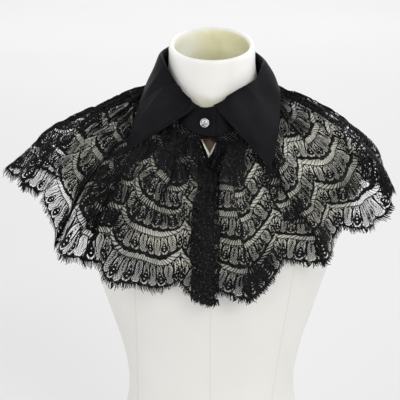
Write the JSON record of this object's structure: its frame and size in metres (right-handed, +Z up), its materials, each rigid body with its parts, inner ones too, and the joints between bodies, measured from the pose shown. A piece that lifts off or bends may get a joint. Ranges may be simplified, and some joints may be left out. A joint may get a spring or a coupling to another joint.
{
  "type": "lace collar on dress form",
  "caption": "Cape collar of gathered scalloped lace with an eyelash edge, under a pointed buttoned shirt collar, worn by a hollow limbless dress form.",
  "frame": {"origin": "middle of the dress form's flat base, on the surface it stands on", "axes": "+Z up, the front of the collar faces -Y, +X to the right as seen from the front"},
  "size_m": [0.4693, 0.2772, 0.6132],
  "materials": {
    "form": "cream, lightly satin",
    "lace": "black cotton and nylon lace",
    "cotton": "black woven cotton, pressed",
    "button": "clear, polished"
  },
  "bodies": {
    "root": {"dress_form": "form", "lace_left": "lace", "lace_right": "lace", "eyelash_left": "lace", "eyelash_right": "lace", "collar_stand": "cotton", "collar_fall": "cotton", "button": "button"}
  },
  "joints": []
}
